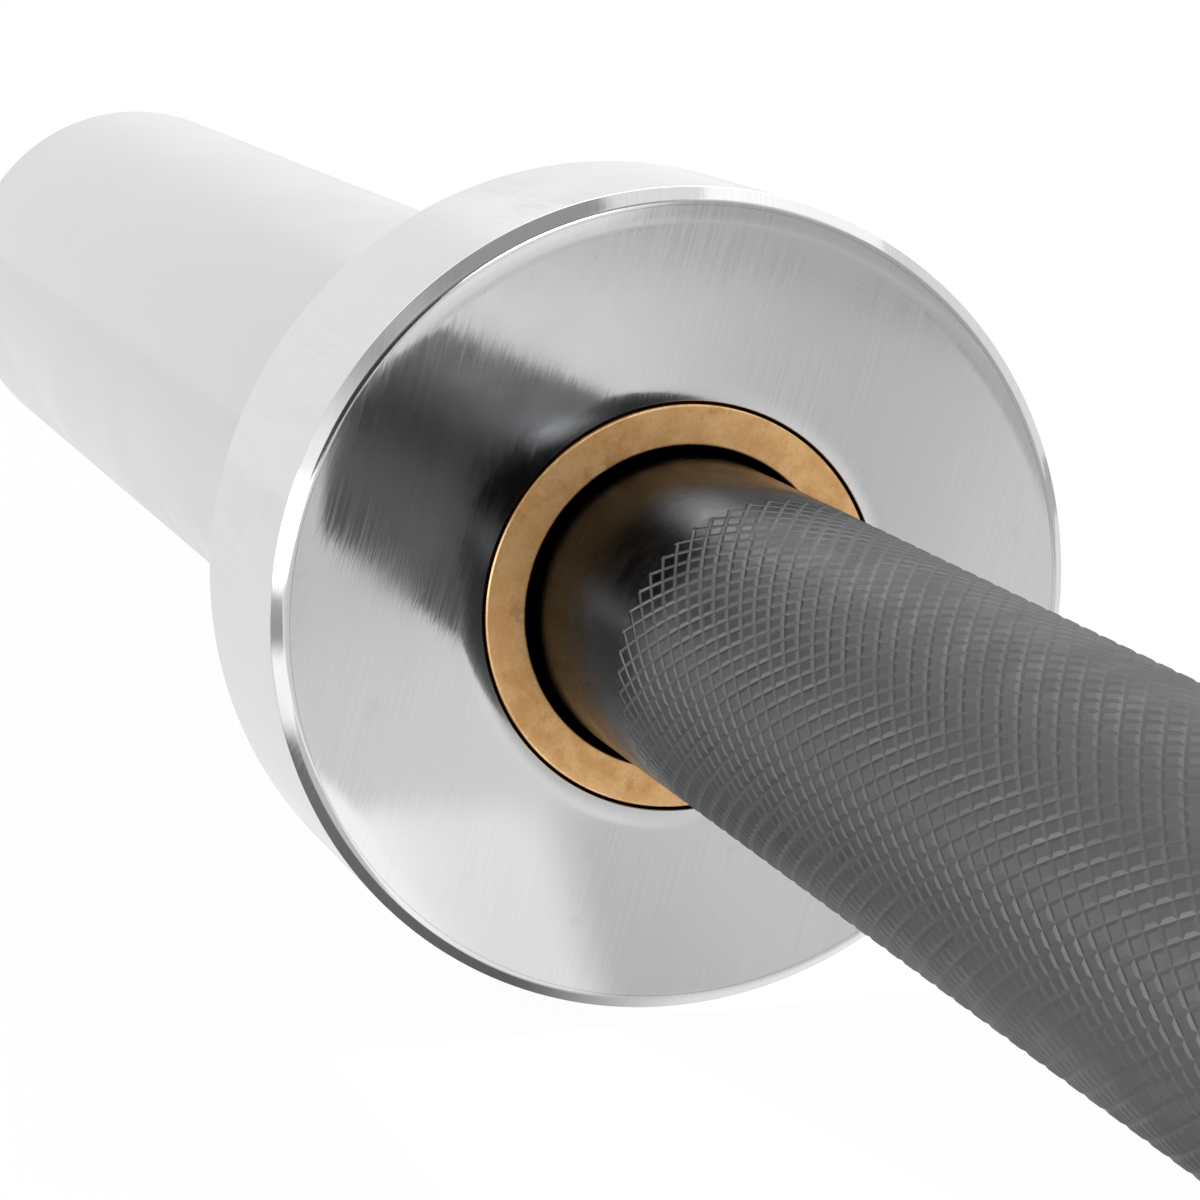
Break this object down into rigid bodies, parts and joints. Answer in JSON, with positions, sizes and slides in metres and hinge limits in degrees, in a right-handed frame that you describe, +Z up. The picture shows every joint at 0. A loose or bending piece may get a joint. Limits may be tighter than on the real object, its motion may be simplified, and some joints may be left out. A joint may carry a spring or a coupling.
{
  "type": "barbell",
  "caption": "Short straight weight bar: a knurled steel shaft with plated tubular sleeves that revolve on bronze bushings behind flat-faced shoulder collars.",
  "frame": {"origin": "on the bar's axis, midway between the two collars", "axes": "+X along the bar, with the end called left at -X; +Z up when the bar lies on its collars"},
  "size_m": [1.52, 0.077, 0.077],
  "materials": {
    "shaft_steel": "dark oxide, plain next to the collars and diamond knurled where it is gripped",
    "collar_plating": "bright plating, polished to a near mirror with fine polishing lines",
    "sleeve_plating": "bright plating, smooth turned tube",
    "bronze": "machined bearing bronze, slightly mottled",
    "spring_steel": "oiled phosphated spring steel",
    "cap_steel": "satin black"
  },
  "bodies": {
    "bar": {"shaft": "shaft_steel", "left_inner_retaining_ring": "spring_steel", "left_outer_retaining_ring": "spring_steel", "right_inner_retaining_ring": "spring_steel", "right_outer_retaining_ring": "spring_steel"},
    "left_sleeve": {"left_collar": "collar_plating", "left_sleeve_tube": "sleeve_plating", "left_inner_bushing": "bronze", "left_outer_bushing": "bronze", "left_end_cap": "cap_steel", "left_end_cap_ring": "spring_steel"},
    "right_sleeve": {"right_collar": "collar_plating", "right_sleeve_tube": "sleeve_plating", "right_inner_bushing": "bronze", "right_outer_bushing": "bronze", "right_end_cap": "cap_steel", "right_end_cap_ring": "spring_steel"},
    "left_inner_washer": {"left_inner_thrust_washer": "bronze"},
    "left_outer_washer": {"left_outer_thrust_washer": "bronze"},
    "right_inner_washer": {"right_inner_thrust_washer": "bronze"},
    "right_outer_washer": {"right_outer_thrust_washer": "bronze"}
  },
  "joints": [
    {"name": "left_sleeve_spin", "type": "hinge", "parent": "bar", "child": "left_sleeve", "pos_m": [-0.51, 0, 0], "axis": [1, 0, 0], "continuous": true},
    {"name": "right_sleeve_spin", "type": "hinge", "parent": "bar", "child": "right_sleeve", "pos_m": [0.51, 0, 0], "axis": [1, 0, 0], "continuous": true},
    {"name": "left_inner_washer_spin", "type": "hinge", "parent": "bar", "child": "left_inner_washer", "pos_m": [-0.51, 0, 0], "axis": [1, 0, 0], "continuous": true},
    {"name": "left_outer_washer_spin", "type": "hinge", "parent": "bar", "child": "left_outer_washer", "pos_m": [-0.51, 0, 0], "axis": [1, 0, 0], "continuous": true},
    {"name": "right_inner_washer_spin", "type": "hinge", "parent": "bar", "child": "right_inner_washer", "pos_m": [0.51, 0, 0], "axis": [1, 0, 0], "continuous": true},
    {"name": "right_outer_washer_spin", "type": "hinge", "parent": "bar", "child": "right_outer_washer", "pos_m": [0.51, 0, 0], "axis": [1, 0, 0], "continuous": true}
  ]
}
